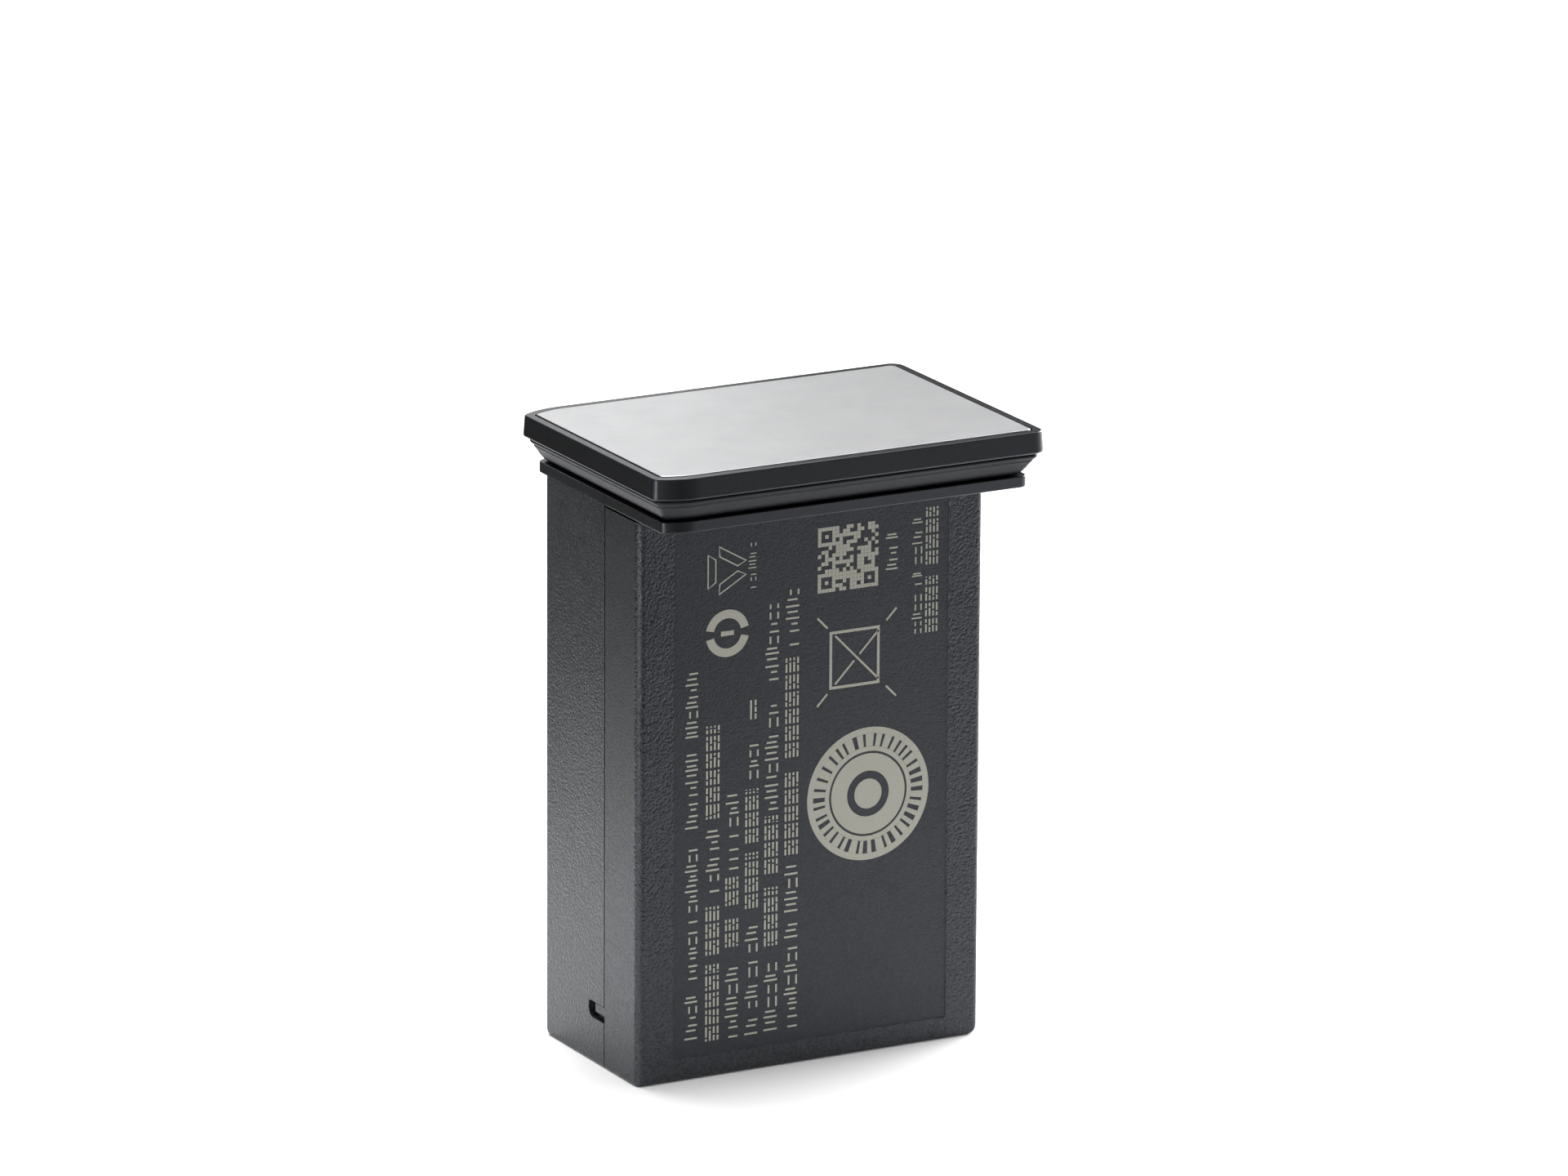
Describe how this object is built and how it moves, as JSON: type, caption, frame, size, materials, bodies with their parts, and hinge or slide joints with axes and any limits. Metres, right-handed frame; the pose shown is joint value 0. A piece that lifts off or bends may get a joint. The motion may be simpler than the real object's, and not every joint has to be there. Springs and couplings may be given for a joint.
{
  "type": "camera battery pack",
  "caption": "Slim rectangular rechargeable camera battery pack with an integral base-plate lid: silver inlay, black frame, rubber lip seal, flange and grained two-part body.",
  "frame": {"origin": "XY centre of the lid's outline, on the plane of the insertion end that the pack stands on", "axes": "+Z from the insertion end up to the lid's outer face; the printed face looks along -Y; +X to the right of someone facing the print, and the lid's end with the curved-in long sides is at -X"},
  "size_m": [0.0424, 0.03, 0.0623],
  "materials": {
    "shell": "fine spark-eroded grain, charcoal, moulded",
    "lid_frame": "smooth satin charcoal moulding",
    "seal": "soft black rubber, dull sheen",
    "adhesive": "thin double-sided tape",
    "panel": "fine bead-blasted silver anodised sheet",
    "screw": "zinc-plated steel",
    "cell_foil": "aluminium laminate pouch film",
    "tab": "nickel strip",
    "tape": "thin double-sided tape",
    "foam": "closed-cell foam",
    "insulator": "vulcanised fibre sheet",
    "board": "glass-epoxy board with green solder mask",
    "chip": "moulded chip package",
    "resistor": "chip resistor",
    "thermistor": "chip thermistor",
    "fuse": "moulded thermal cutoff",
    "terminal_plastic": "glass-filled black moulding",
    "contact": "gold plated contact"
  },
  "bodies": {
    "root": {"rear_shell": "shell", "front_cover": "shell", "lid_frame": "lid_frame", "lid_seal": "seal", "panel_adhesive": "adhesive", "lid_panel": "panel", "cell_a": "cell_foil", "cell_b": "cell_foil", "cell_bond_tape": "tape", "front_tape": "tape", "rear_tape": "tape", "top_foam": "foam", "insulator_sheet": "insulator", "protection_board": "board", "protection_ic": "chip", "dual_mosfet": "chip", "sense_resistor": "resistor", "thermistor": "thermistor", "thermal_fuse": "fuse", "terminal_block": "terminal_plastic", "lid_screw_1": "screw", "lid_screw_2": "screw", "lid_screw_3": "screw", "lid_screw_4": "screw", "cell_a_tab_positive": "tab", "cell_a_tab_negative": "tab", "cell_b_tab_positive": "tab", "cell_b_tab_negative": "tab", "contact_1": "contact", "contact_2": "contact", "contact_3": "contact", "contact_4": "contact", "contact_5": "contact"}
  },
  "joints": []
}
